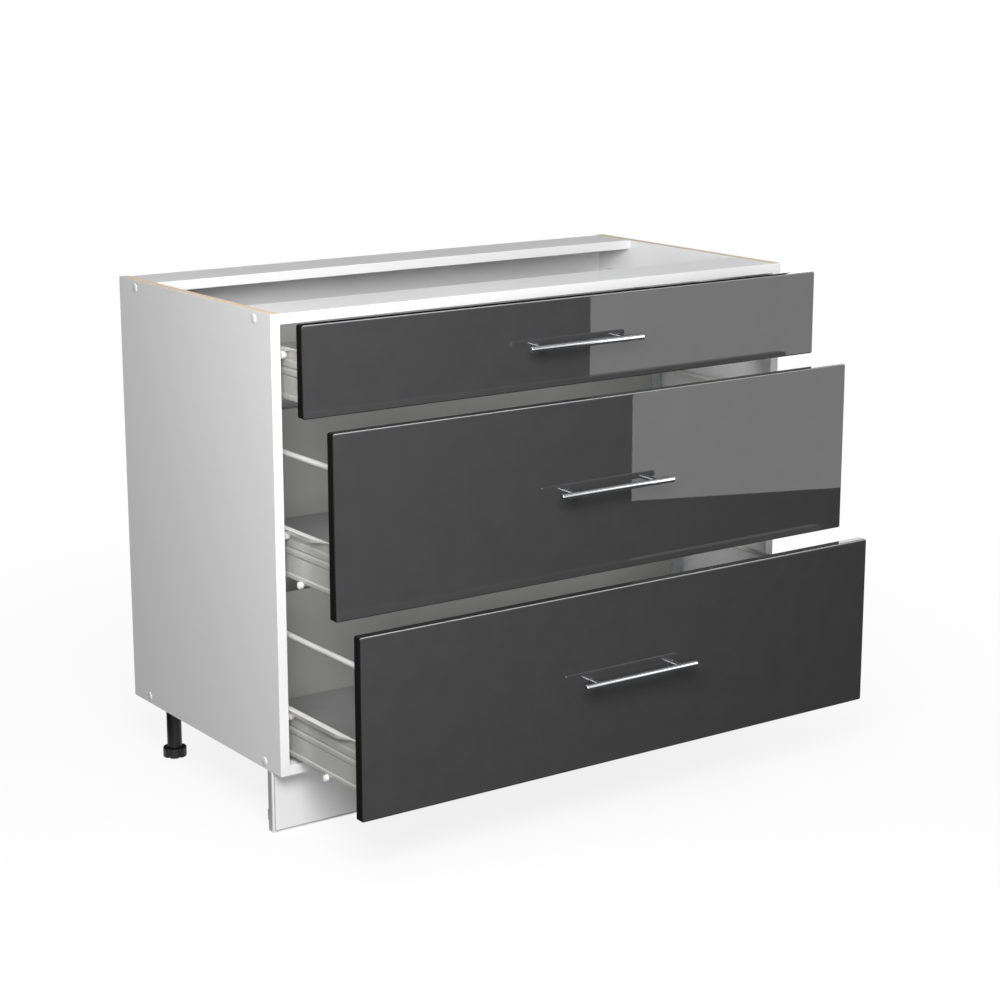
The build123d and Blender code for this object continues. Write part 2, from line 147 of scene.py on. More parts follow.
def coating(name, look):
    # colour and tint wander in clouds; the grain is what the finger feels
    material, tree, shader, place = startMaterial(name)
    clouds = addNode(tree, "TexNoise", lumps(place, look["clouds"]))
    grain = addNode(tree, "TexNoise", lumps(place, look["grain"]))
    share = addNode(tree, "MapRange", [clouds, *noiseSpan, 0, 1])
    both = {0: share, 6: linear(look["colour"]), 7: linear(look["tint"])}
    tone = addNode(tree, "Mix", both, **colourMix)
    if "edgeWearAndHighlight" in look:  # along the edges: rub wear on the rails, a painted highlight on the drawer sides and the black plastic
        patchy = addNode(tree, "MapRange", [grain, *noiseSpan, 0.2, 1])
        edges = edgeMask(tree, look["edgeWearAndHighlightWidth"])
        wearAndHighlightShare = addNode(tree, "Math", [edges, patchy], operation="MULTIPLY")
        tone = addNode(tree, "Mix", {0: wearAndHighlightShare, 6: tone, 7: linear(look["edgeWearAndHighlight"])}, **colourMix)
    if "above" in look:  # painted light: the faces that look up get this lighter colour
        up = facing(tree, (0, 0, 1), 0.8, 0.95)
        tone = addNode(tree, "Mix", {0: up, 6: tone, 7: linear(look["above"])}, **colourMix)
    mixed = addNode(tree, "Math", [grain, 0.5, clouds], operation="MULTIPLY_ADD")
    feeds = {
        "Base Color": tone,
        "Roughness": addNode(tree, "MapRange", [mixed, 0.5, 1, *look["roughness"]]),
        "Normal": addNode(tree, "Bump", {"Height": grain, "Distance": look["depth"] * mm}),
        "Metallic": look.get("metallic", 0.0),
    }
    if "ior" in look:
        feeds["IOR"] = look["ior"]
    if "soft" in look:  # light soaks 2 mm in, as in nylon
        feeds["Subsurface Weight"] = look["soft"]
        feeds["Subsurface Radius"] = (0.002, 0.002, 0.002)
        feeds["Subsurface Scale"] = 1.0
    feed(tree, shader, feeds)
    return material


coatings = {
    # melamine paper pressed on chipboard: matt white, with a pearl too fine to show,
    # so it is drawn at 2 mm
    "whiteMelamine": {
        "colour": "#f0f0f0", "tint": "#eeedee", "clouds": 160, "grain": 2.0, "depth": 0.012,
        "roughness": (0.36, 0.48), "ior": 1.5,
    },
    # the same in grey on the boards inside the drawers; the floors are a darker grey than the
    # backs, which is painted shade
    "drawerBackMelamine": {
        "colour": "#9a9a99", "tint": "#949493", "clouds": 140, "grain": 2.0, "depth": 0.012,
        "roughness": (0.4, 0.52), "ior": 1.5,
    },
    # painted shade: the backs' grey board, made darker for the floors
    "drawerFloorMelamineWithPaintedShade": {
        "colour": "#8e8e8e", "tint": "#888888", "clouds": 140, "grain": 2.0, "depth": 0.012,
        "roughness": (0.4, 0.52), "ior": 1.5,
    },
    # powder coat on rolled steel: pale grey, satin, faint orange peel, with a painted highlight
    # along its edges and painted light on the faces that look up
    "drawerSidePowderCoat": {
        "colour": "#b6b6b3", "tint": "#adadaa", "clouds": 90, "grain": 1.4, "depth": 0.02,
        "roughness": (0.22, 0.32), "ior": 1.5, "edgeWearAndHighlight": "#f6f6f4", "edgeWearAndHighlightWidth": 1.2,
        "above": "#eeeeec",
    },
    # the rails' coat is paler and duller, and their edges are rubbed down to grey
    "railPowderCoat": {
        "colour": "#d4d4d1", "tint": "#cbcbc8", "clouds": 70, "grain": 1.4, "depth": 0.02,
        "roughness": (0.32, 0.45), "ior": 1.5, "edgeWearAndHighlight": "#9a9a98", "edgeWearAndHighlightWidth": 0.5,
    },
    # the rods' coat is laid on thicker and nearly white
    "rodPowderCoat": {
        "colour": "#dededc", "tint": "#d5d5d3", "clouds": 60, "grain": 1.2, "depth": 0.015,
        "roughness": (0.28, 0.4), "ior": 1.5,
    },
    # injection-moulded nylon: milky white, light soaks in a little
    "mouldedNylon": {
        "colour": "#ecebe7", "tint": "#e3e2dd", "clouds": 9, "grain": 0.6, "depth": 0.01,
        "roughness": (0.34, 0.48), "ior": 1.53, "soft": 0.12,
    },
    # moulded polythene caps: smooth white
    "capPolythene": {
        "colour": "#f2f2f2", "tint": "#ececec", "clouds": 6, "grain": 0.5, "depth": 0.006,
        "roughness": (0.22, 0.32), "ior": 1.5,
    },
    # moulded black polypropylene: spark-eroded grain, and a painted highlight that makes its
    # corners greyer
    "mouldedBlackPlastic": {
        "colour": "#0c0c0c", "tint": "#121212", "clouds": 22, "grain": 0.9, "depth": 0.03,
        "roughness": (0.38, 0.55), "ior": 1.42, "edgeWearAndHighlight": "#303030", "edgeWearAndHighlightWidth": 0.5,
    },
    # zinc plate with blue passivation: pale grey metal in small clouds
    "zincPlatedSteel": {
        "colour": "#c9ccd2", "tint": "#b4b6b4", "clouds": 4, "grain": 0.5, "depth": 0.006,
        "roughness": (0.24, 0.4), "metallic": 1.0,
    },
}
finish = {name: coating(name, look) for name, look in coatings.items()}

chipboard = {
    "chips": 1.6, "dust": 0.8, "light": "#efe3cf", "straw": "#dac4a2", "gap": "#b09474",
    "gapShare": 0.7, "skin": 0.35, "blur": 0.05, "bump": 0.3, "roughness": 0.85,
}


def chipboardEdge(tree, place):
    # raw edge of chipboard: straw chips 1 to 3 mm long, with darker gaps between them
    cells = {"Vector": place, "Scale": 1 / (chipboard["chips"] * mm)}
    chip = addNode(tree, "SeparateColor", [addNode(tree, "TexVoronoi", cells, "Color")])
    dust = addNode(tree, "TexNoise", lumps(place, chipboard["dust"], 4.0))
    both = {0: chip, 6: linear(chipboard["light"]), 7: linear(chipboard["straw"])}
    straw = addNode(tree, "Mix", both, **colourMix)
    gaps = addNode(tree, "MapRange", [dust, 0.52, 0.68, 0, chipboard["gapShare"]])
    return addNode(tree, "Mix", {0: gaps, 6: straw, 7: linear(chipboard["gap"])}, **colourMix), dust


def sidePanelMaterial():
    # white melamine skins and front edge, raw chipboard on the top and rear edges
    material = finish["whiteMelamine"].copy()
    material.name = "melamineWithRawEdges"
    tree = material.node_tree
    shader = tree.nodes["Principled BSDF"]
    white, dull, smooth = (
        shader.inputs[key].links[0].from_socket for key in ("Base Color", "Roughness", "Normal")
    )
    place = addNode(tree, "TexCoord", out="Object")
    raw, dust = chipboardEdge(tree, place)
    spot = addNode(tree, "SeparateXYZ", [place]).node.outputs
    across = addNode(tree, "Math", [spot["X"]], operation="ABSOLUTE")
    skin, blur = chipboard["skin"] * mm, chipboard["blur"] * mm
    outer, inner = outerAt * mm - skin, wallAt * mm + skin
    outer = addNode(tree, "MapRange", [across, outer, outer + blur, 1, 0])
    inner = addNode(tree, "MapRange", [across, inner, inner + blur, 0, 1])
    core = addNode(tree, "Math", [outer, inner], operation="MULTIPLY")
    behind = addNode(tree, "MapRange", [spot["Y"], skin, skin + blur, 0, 1])
    inside = addNode(tree, "Math", [core, behind], operation="MULTIPLY")
    top = addNode(tree, "Math", [facing(tree, (0, 0, 1)), inside], operation="MULTIPLY")
    rear = addNode(tree, "Math", [facing(tree, (0, 1, 0)), core], operation="MULTIPLY")
    mask = addNode(tree, "Math", [top, rear], operation="MAXIMUM")
    chips = addNode(tree, "Math", [dust, mask], operation="MULTIPLY")
    relief = {"Height": chips, "Distance": chipboard["bump"] * mm, "Normal": smooth}
    feed(tree, shader, {
        "Base Color": addNode(tree, "Mix", {0: mask, 6: white, 7: raw}, **colourMix),
        "Roughness": addNode(tree, "Mix", {0: mask, 2: dull, 3: chipboard["roughness"]}),
        "Normal": addNode(tree, "Bump", relief),
    })
    return material


plinthLow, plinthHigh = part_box("plinth_board")
plinth = {  # outline of the board, its edging strip, and the foil on its face
    "half": plinthHigh.x / mm, "foot": plinthLow.z / mm, "face": plinthLow.y / mm,
    "strip": 3.0, "line": 0.9, "foil": 4.0, "core": "#a9a9a9", "joint": "#8c8c8c",
}


def plinthMaterial():
    # white foil on board, closed by an edging strip along its foot and ends with a fine grey
    # joint line; the ends show a grey core behind the foil
    material = finish["whiteMelamine"].copy()
    material.name = "foiledPlinth"
    tree = material.node_tree
    shader = tree.nodes["Principled BSDF"]
    white = shader.inputs["Base Color"].links[0].from_socket
    place = addNode(tree, "TexCoord", out="Object")
    spot = addNode(tree, "SeparateXYZ", [place]).node.outputs
    across = addNode(tree, "Math", [spot["X"]], operation="ABSOLUTE")
    fromEnd = addNode(tree, "Math", [plinth["half"] * mm, across], operation="SUBTRACT")
    fromFoot = addNode(tree, "Math", [spot["Z"], plinth["foot"] * mm], operation="SUBTRACT")
    near = addNode(tree, "Math", [fromEnd, fromFoot], operation="MINIMUM")
    off = addNode(tree, "Math", [near, plinth["strip"] * mm], operation="SUBTRACT")
    off = addNode(tree, "Math", [off], operation="ABSOLUTE")
    line = addNode(tree, "MapRange", [off, plinth["line"] * 0.5 * mm, plinth["line"] * mm, 1, 0])
    sideways = [facing(tree, (-1, 0, 0)), facing(tree, (1, 0, 0))]
    ends = addNode(tree, "Math", sideways, operation="MAXIMUM")
    deep = plinth["face"] + plinth["foil"]
    deep = addNode(tree, "MapRange", [spot["Y"], deep * mm, (deep + 1) * mm, 0, 1])
    core = addNode(tree, "Math", [ends, deep], operation="MULTIPLY")
    tone = addNode(tree, "Mix", {0: core, 6: white, 7: linear(plinth["core"])}, **colourMix)
    tone = addNode(tree, "Mix", {0: line, 6: tone, 7: linear(plinth["joint"])}, **colourMix)
    feed(tree, shader, {"Base Color": tone})
    return material


hardboard = {
    "fibres": 1.5, "length": 0.35, "clouds": 60, "bump": 0.05, "roughness": (0.8, 0.42),
    "brown": "#8a6546", "pale": "#b08a63", "dark": "#75543a", "lacquer": "#ececec",
}


def backPanelMaterial():
    # thin hardboard: white lacquer inside, bare brown felted fibres on the outside
    material, tree, shader, place = startMaterial("hardboardBack")
    flat = addNode(tree, "Mapping", {0: place, 3: (1.0, 1.0, hardboard["length"])})
    fibres = addNode(tree, "TexNoise", lumps(flat, hardboard["fibres"], 6.0))
    clouds = addNode(tree, "TexNoise", lumps(place, hardboard["clouds"], 3.0))
    share = addNode(tree, "MapRange", [fibres, *noiseSpan, 0, 1])
    both = {0: share, 6: linear(hardboard["brown"]), 7: linear(hardboard["pale"])}
    brown = addNode(tree, "Mix", both, **colourMix)
    share = addNode(tree, "MapRange", [clouds, *noiseSpan, 0, 0.35])
    brown = addNode(tree, "Mix", {0: share, 6: brown, 7: linear(hardboard["dark"])}, **colourMix)
    coat = facing(tree, (0, -1, 0), -0.9, -0.6)  # everywhere but on the outside
    both = {0: coat, 6: brown, 7: linear(hardboard["lacquer"])}
    feed(tree, shader, {
        "Base Color": addNode(tree, "Mix", both, **colourMix),
        "Roughness": addNode(tree, "MapRange", [coat, 0, 1, *hardboard["roughness"]]),
        "Normal": addNode(tree, "Bump", {"Height": fibres, "Distance": hardboard["bump"] * mm}),
    })
    return material


gloss = {
    "peel": 14, "dust": 40, "depth": 0.004, "ior": 1.5, "smear": (0.008, 0.02),
    # the darker edge colour is painted shade, the pale top line a painted highlight
    "face": "#444445", "cloud": "#414142", "paintedEdgeShade": "#19191a", "paintedTopHighlight": "#a2a2a3",
    "back": "#e6e6e6", "backRoughness": 0.45,
}


def frontMaterial():
    # high gloss anthracite on board: a mirror with a faint orange peel, painted shade that makes
    # all but the front face blacker, a painted highlight line where the top edge is rounded over,
    # plain white back
    material, tree, shader, place = startMaterial("highGlossAnthracite")
    peel = addNode(tree, "TexNoise", lumps(place, gloss["peel"], 1.0))
    dust = addNode(tree, "TexNoise", lumps(place, gloss["dust"], 3.0))
    share = addNode(tree, "MapRange", [dust, *noiseSpan, 0, 1])
    both = {0: share, 6: linear(gloss["face"]), 7: linear(gloss["cloud"])}
    tone = addNode(tree, "Mix", both, **colourMix)
    # painted shade: every face but the front one gets the darker edge colour
    face = facing(tree, (0, -1, 0), 0.8, 0.97)
    tone = addNode(tree, "Mix", {0: face, 6: linear(gloss["paintedEdgeShade"]), 7: tone}, **colourMix)
    # painted highlight: a pale line along the rounded top edge
    paintedTopHighlight = facing(tree, (0, -0.707, 0.707), 0.93, 0.985)
    tone = addNode(tree, "Mix", {0: paintedTopHighlight, 6: tone, 7: linear(gloss["paintedTopHighlight"])}, **colourMix)
    back = facing(tree, (0, 1, 0), 0.9, 0.97)
    tone = addNode(tree, "Mix", {0: back, 6: tone, 7: linear(gloss["back"])}, **colourMix)
    smear = addNode(tree, "MapRange", [dust, *noiseSpan, *gloss["smear"]])
    feed(tree, shader, {
        "Base Color": tone,
        "Roughness": addNode(tree, "Mix", {0: back, 2: smear, 3: gloss["backRoughness"]}),
        "Normal": addNode(tree, "Bump", {"Height": peel, "Distance": gloss["depth"] * mm}),
        "IOR": gloss["ior"],
    })
    return material


chrome = {
    "smudge": 18, "polish": 1.0, "depth": 0.002, "clean": "#dcdddf", "touched": "#d0d1d3",
    "roughness": (0.03, 0.09),
}


def chromeMaterial():
    # bright chrome plate: a clean mirror with the odd fingerprint
    material, tree, shader, place = startMaterial("polishedChrome")
    smudge = addNode(tree, "TexNoise", lumps(place, chrome["smudge"], 4.0))
    polish = addNode(tree, "TexNoise", lumps(place, chrome["polish"]))
    share = addNode(tree, "MapRange", [smudge, *noiseSpan, 0, 1])
    both = {0: share, 6: linear(chrome["clean"]), 7: linear(chrome["touched"])}
    feed(tree, shader, {
        "Base Color": addNode(tree, "Mix", both, **colourMix),
        "Roughness": addNode(tree, "MapRange", [smudge, 0.45, 0.75, *chrome["roughness"]]),
        "Normal": addNode(tree, "Bump", {"Height": polish, "Distance": chrome["depth"] * mm}),
        "Metallic": 1.0,
    })
    return material


beech = {
    "flecks": 0.7, "length": 0.15, "bump": 0.05, "roughness": (0.55, 0.75),
    "straw": "#dcb98f", "fleck": "#b98b5e",
}


def beechMaterial():
    # fluted beech dowel: pinkish straw, short dark flecks along the pin
    material, tree, shader, place = startMaterial("beech")
    along = addNode(tree, "Mapping", {0: place, 3: (beech["length"], 1.0, 1.0)})
    flecks = addNode(tree, "TexNoise", lumps(along, beech["flecks"], 4.0))
    share = addNode(tree, "MapRange", [flecks, *noiseSpan, 0, 1])
    both = {0: share, 6: linear(beech["straw"]), 7: linear(beech["fleck"])}
    feed(tree, shader, {
        "Base Color": addNode(tree, "Mix", both, **colourMix),
        "Roughness": addNode(tree, "MapRange", [flecks, *noiseSpan, *beech["roughness"]]),
        "Normal": addNode(tree, "Bump", {"Height": flecks, "Distance": beech["bump"] * mm}),
    })
    return material


for make in (
    sidePanelMaterial, plinthMaterial, backPanelMaterial, frontMaterial, chromeMaterial,
    beechMaterial,
):
    material = make()
    finish[material.name] = material
print("materials made:", len(finish))


# helpers for meshes: widths, profiles and sizes are in mm, places in metres
def bevelEdges(bm, edges, width, segments, clamp=False):
    bmesh.ops.bevel(
        bm, geom=edges, offset=width * mm, segments=segments, affect="EDGES", profile=0.5,
        material=-1, clamp_overlap=clamp,
    )


def softenEdges(bm, width, angle=25, faces=None):
    edges = dict.fromkeys(e for f in faces for e in f.edges) if faces else bm.edges
    sharp = [e for e in edges if len(e.link_faces) == 2 and e.calc_face_angle(0) > radians(angle)]
    bevelEdges(bm, sharp, width, 2, True)


def lathe(bm, profile, origin, axis, steps=48, arris=0.0):
    # profile: radius and distance along the axis, in mm, from the axis round to the axis
    turn = Vector((0, 0, 1)).rotation_difference(Vector(axis)).to_matrix().to_4x4()
    place = Matrix.Translation(origin) @ turn
    old = set(bm.faces)
    verts = [bm.verts.new(place @ Vector((r * mm, 0, h * mm))) for r, h in profile]
    edges = [bm.edges.new(pair) for pair in zip(verts, verts[1:])]
    bmesh.ops.spin(
        bm, geom=verts + edges, cent=origin, axis=Vector(axis), angle=2 * pi, steps=steps,
        use_merge=True,
    )
    corners = dict.fromkeys(v for f in bm.faces if f not in old for v in f.verts)
    bmesh.ops.remove_doubles(bm, verts=list(corners), dist=weld)
    faces = [f for f in bm.faces if f not in old]
    bmesh.ops.recalc_face_normals(bm, faces=faces)
    if arris:
        softenEdges(bm, arris, 30, faces)


def addPiece(name, bm, body, material, replaced=(), angle=40):
    mesh = bpy.data.meshes.new(name)
    bm.to_mesh(mesh)
    bm.free()
    mesh.materials.append(finish[material])
    mesh.shade_smooth()
    mesh.set_sharp_from_angle(angle=radians(angle))
    piece = bpy.data.objects.new(name, mesh)
    bpy.context.scene.collection.objects.link(piece)
    even = piece.modifiers.new("even shading", "WEIGHTED_NORMAL")
    even.keep_sharp = True
    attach(piece, body)
    if replaced:
        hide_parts(*replaced)
    return piece


def softCopy(name, node, material, arris):
    # the CAD solid itself, with its arrises broken as on a sanded or edged board
    bm = bmesh.new()
    bm.from_mesh(nodes[node].data)
    bmesh.ops.remove_doubles(bm, verts=bm.verts, dist=weld)
    bmesh.ops.dissolve_limit(bm, angle_limit=radians(1), verts=bm.verts, edges=bm.edges)
    softenEdges(bm, arris)
    addPiece(name, bm, nodes[node]["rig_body"], material, [node])


cross = {  # of a screw head, as shares of its radius or height
    "arm": 0.14, "reach": 0.6, "depth": 0.75, "floor": 0.8, "dome": 0.45, "sides": 20,
}


def crossScrewHead(radius, height):
    # low head with a pressed cross, looking along +Z, its seat at the origin
    bm = bmesh.new()
    arm, reach, depth = radius * cross["arm"], radius * cross["reach"], height * cross["depth"]
    bmesh.ops.create_circle(bm, cap_ends=True, radius=radius * mm, segments=cross["sides"])
    for axis in (Vector((1, 0, 0)), Vector((0, 1, 0))):
        for cut in (-reach, -arm, arm, reach):
            geom = bm.verts[:] + bm.edges[:] + bm.faces[:]
            bmesh.ops.bisect_plane(bm, geom=geom, plane_co=axis * cut * mm, plane_no=axis)
    rim = [e for e in bm.edges if len(e.link_faces) == 1]
    down = bmesh.ops.extrude_edge_only(bm, edges=rim)["geom"]
    skirt = [g for g in down if isinstance(g, bmesh.types.BMVert)]
    bmesh.ops.translate(bm, verts=skirt, vec=(0, 0, -height * mm))
    arms = []
    for face in bm.faces:
        x, y, z = (abs(c) / mm for c in face.calc_center_median())
        if z < nearly / mm and min(x, y) < arm * 0.9 and max(x, y) < reach:
            arms.append(face)  # the faces that make up the cross
    pressed = bmesh.ops.extrude_face_region(bm, geom=arms)["geom"]
    bottom = [g for g in pressed if isinstance(g, bmesh.types.BMVert)]
    bmesh.ops.translate(bm, verts=bottom, vec=(0, 0, -depth * mm))
    bmesh.ops.scale(bm, verts=bottom, vec=(cross["floor"], cross["floor"], 1))
    bmesh.ops.delete(bm, geom=[f for f in arms if f.is_valid], context="FACES_ONLY")
    top = [
        e for e in bm.edges if len(e.link_faces) == 2
        and all(v.co.z > -nearly and v.co.length > radius * 0.95 * mm for v in e.verts)
    ]
    bevelEdges(bm, top, height * cross["dome"], 3)
    bmesh.ops.holes_fill(bm, edges=[e for e in bm.edges if len(e.link_faces) == 1])
    bmesh.ops.recalc_face_normals(bm, faces=bm.faces)
    mesh = bpy.data.meshes.new("screwHead")
    bm.to_mesh(mesh)
    bm.free()
    return mesh


def placeHead(bm, screw, seat, axis, spin=0.0):
    # screw: radius and height of its head; the mesh is made at its first use
    if "mesh" not in screw:
        screw["mesh"] = crossScrewHead(screw["radius"], screw["height"])
    turn = Vector((0, 0, 1)).rotation_difference(Vector(axis)).to_matrix().to_4x4()
    lift = Matrix.Translation((0, 0, screw["height"] * mm))
    lift = lift @ Matrix.Rotation(radians(spin), 4, "Z")
    copy = screw["mesh"].copy()
    copy.transform(Matrix.Translation(seat) @ turn @ lift)
    bm.from_mesh(copy)
    bpy.data.meshes.remove(copy)


def foldSheet(bm, line, stations, bend, sheet, shape=None):
    # sheet metal: a line of x and z, drawn along y through the stations, folds rounded,
    # then thickened
    row = [bm.verts.new((x * mm, stations[0] * mm, z * mm)) for x, z in line]
    edges = [bm.edges.new(pair) for pair in zip(row, row[1:])]
    verts, faces = list(row), []
    for here, there in zip(stations, stations[1:]):
        new = bmesh.ops.extrude_edge_only(bm, edges=edges)["geom"]
        edges = [g for g in new if isinstance(g, bmesh.types.BMEdge)]
        faces += [g for g in new if isinstance(g, bmesh.types.BMFace)]
        step = [g for g in new if isinstance(g, bmesh.types.BMVert)]
        bmesh.ops.translate(bm, verts=step, vec=(0, (there - here) * mm, 0))
        verts += step
    if shape:
        for vert in verts:
            vert.co = shape(vert.co / mm) * mm
    bmesh.ops.recalc_face_normals(bm, faces=faces)
    folds = [  # they run along y and turn by more than 8 degrees
        e for e in dict.fromkeys(e for f in faces for e in f.edges)
        if len(e.link_faces) == 2 and e.calc_face_angle(0) > radians(8)
        and abs((e.verts[0].co - e.verts[1].co).normalized().y) > 0.3
    ]
    old = set(bm.faces) - set(faces)
    bevelEdges(bm, folds, bend, 4, True)
    faces = [f for f in bm.faces if f not in old]
    bmesh.ops.solidify(bm, geom=faces, thickness=sheet * mm)


# the carcass
boards = {  # node, finish, slot and how far the arrises are broken, in mm
    "sidePanel_left": ("side_panel_left", "melamineWithRawEdges", "melamine", 0.4),
    "sidePanel_right": ("side_panel_right", "melamineWithRawEdges", "melamine", 0.4),
    "bottomPanel": ("bottom_panel", "whiteMelamine", "melamine", 0.4),
    "frontRail": ("front_rail", "whiteMelamine", "melamine", 0.4),
    "rearRail": ("rear_rail", "whiteMelamine", "melamine", 0.4),
    "plinthBoard": ("plinth_board", "foiledPlinth", "melamine", 1.5),
    "backPanel": ("back_panel", "hardboardBack", "back_board", 0.2),
}
for name, (node, material, slot, arris) in boards.items():
    softCopy(name, node, material, arris)

coverCap = {  # its dome is drawn through these angles, in radians
    "radius": 7.0, "height": 1.6, "rim": 0.4, "dome": (0.35, 0.7, 1.05, 1.35),
    "y": (50.0, 443.0), "z": (112.0, 808.0),
}
bm = bmesh.new()
r, rim, height = coverCap["radius"], coverCap["rim"], coverCap["height"]
dome = [(r * cos(a), rim + (height - rim) * sin(a)) for a in coverCap["dome"]]
for way in hands.values():
    for y in coverCap["y"]:
        for z in coverCap["z"]:
            seat = Vector((way * outerAt * mm, y * mm, z * mm))
            lathe(bm, [(0, 0), (r, 0), (r, rim), *dome, (0, height)], seat, (way, 0, 0))
addPiece("coverCaps", bm, "root", "capPolythene", ["cover_caps"])
for node, material in (("panel_screws", "zincPlatedSteel"), ("wooden_dowels", "beech")):
    nodes[node].data.materials[0] = finish[material]
print("carcass made")


# legs, feet and plinth clips
leg = {
    "x": 460.0, "lines": {"front": 75.0, "rear": 437.0}, "radius": 12.5, "base": 16.3,
    "top": 97.0, "play": 0.08, "arris": 0.6,
}
socket = {
    "plate": 28.0, "thick": 3.0, "collar": 16.5, "mouth": 89.0, "top": 100.0, "play": 0.1,
    "arris": 0.5,
}
socketScrew = {"radius": 3.2, "height": 1.6, "from": 22.3, "first": 45, "spin": 20}
foot = {  # a lobed pad and its spindle, with a thread that is flat on its crests
    "radius": 20.0, "height": 16.0, "lobes": 6, "notch": 3.2, "arris": 1.0, "spindle": 5.0,
    "sunk": 1.0, "thread": 1.75, "crest": (0.4, 0.6), "groove": 0.6, "tip": 0.8, "up": 45.0,
}

tubes, sockets, socketScrews = bmesh.new(), bmesh.new(), bmesh.new()
for line, y in leg["lines"].items():
    for hand, way in hands.items():
        centre = Vector((way * leg["x"], y, 0)) * mm
        r, low, high = leg["radius"], leg["base"], leg["top"]
        bore = foot["spindle"] + leg["play"]
        profile = [(bore, low), (r, low), (r, high), (bore, high), (bore, low)]
        lathe(tubes, profile, centre, (0, 0, 1), steps=64, arris=leg["arris"])
        plate, wall, mouth = socket["plate"], socket["collar"], socket["mouth"]
        top, under, bore = socket["top"], socket["top"] - socket["thick"], r + socket["play"]
        profile = [
            (0, top), (plate, top), (plate, under), (wall, under), (wall, mouth), (bore, mouth),
            (bore, under), (0, under),
        ]
        lathe(sockets, profile, centre, (0, 0, 1), steps=56, arris=socket["arris"])
        for turn in range(4):
            angle = radians(socketScrew["first"] + 90 * turn)
            off = Vector((cos(angle), sin(angle), 0)) * socketScrew["from"] * mm
            seat = centre + off + Vector((0, 0, under * mm))
            placeHead(socketScrews, socketScrew, seat, (0, 0, -1), socketScrew["spin"] * turn)
addPiece("legTubes", tubes, "root", "mouldedBlackPlastic", ["leg_tubes"])
addPiece("legSockets", sockets, "root", "mouldedBlackPlastic", ["leg_sockets"])
addPiece("socketScrews", socketScrews, "root", "zincPlatedSteel")


def makeFoot(line, hand):
    node, height, notch = "leg_foot_" + line + "_" + hand, foot["height"], foot["notch"]
    centre = Vector((hands[hand] * leg["x"], leg["lines"][line], 0)) * mm
    bm = bmesh.new()
    disc = bmesh.ops.create_circle(bm, cap_ends=True, radius=foot["radius"] * mm, segments=144)
    for vert in disc["verts"]:  # the grip notches between the lobes
        angle = degrees(atan2(vert.co.y, vert.co.x)) % (360 / foot["lobes"]) - 180 / foot["lobes"]
        across = radians(abs(angle)) * foot["radius"] / notch
        if across < 1:
            vert.co *= 1 - notch / foot["radius"] * (1 - across ** 2) ** 0.5
    up = bmesh.ops.extrude_face_region(bm, geom=bm.faces[:])["geom"]
    lifted = [g for g in up if isinstance(g, bmesh.types.BMVert)]
    bmesh.ops.translate(bm, verts=lifted, vec=(0, 0, height * mm))
    bmesh.ops.recalc_face_normals(bm, faces=bm.faces)
    flat = [e for e in bm.edges if abs(e.verts[0].co.z - e.verts[1].co.z) < nearly]
    bevelEdges(bm, flat, foot["arris"], 3, True)
    bmesh.ops.translate(bm, verts=bm.verts, vec=centre)
    r, pitch, top = foot["spindle"], foot["thread"], height + foot["up"]
    core, tip, level, start = r - foot["groove"], r - foot["tip"], height, height - foot["sunk"]
    profile = [(0, start), (core, start)]
    while level + pitch < top:  # one ring of thread after the other
        profile += [(core, level), *((r, level + pitch * share) for share in foot["crest"])]
        level += pitch
    profile += [(tip, level), (tip, top), (0, top)]
    lathe(bm, profile, centre, (0, 0, 1), steps=24)
    addPiece("levellingFoot_" + line + "_" + hand, bm, nodes[node]["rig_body"],
             "mouldedBlackPlastic", [node], angle=30)


for line in leg["lines"]:
    for hand in hands:
        makeFoot(line, hand)

softCopy("plinthClips", "plinth_clips", "mouldedNylon", arris=0.35)
clipScrew = {"radius": 3.0, "height": 1.4, "reach": (-18.0, 18.0), "y": 46.0, "level": 65.0}
bm = bmesh.new()
for way in hands.values():
    for reach in clipScrew["reach"]:
        seat = Vector((way * leg["x"] + reach, clipScrew["y"], clipScrew["level"])) * mm
        placeHead(bm, clipScrew, seat, (0, 1, 0), reach)
addPiece("clipScrews", bm, "root", "zincPlatedSteel")
print("legs and plinth made")


# fronts and handles
panel = {"corner": 3.5, "edge": 2.5, "round": 8, "backEdge": 0.4, "drillPast": 5.0}
bar = {
    "length": 220.0, "spacing": 160.0, "standoff": 26.0, "radius": 5.0, "end": 0.8, "arris": 0.15,
}
post = {
    "radius": 3.9, "foot": 4.0, "footHeight": 0.8, "short": 3.0, "arris": 0.2, "shank": 2.0,
    "hole": 2.25,
}
handleScrew = {"radius": 4.5, "height": 2.5, "spin": 30}


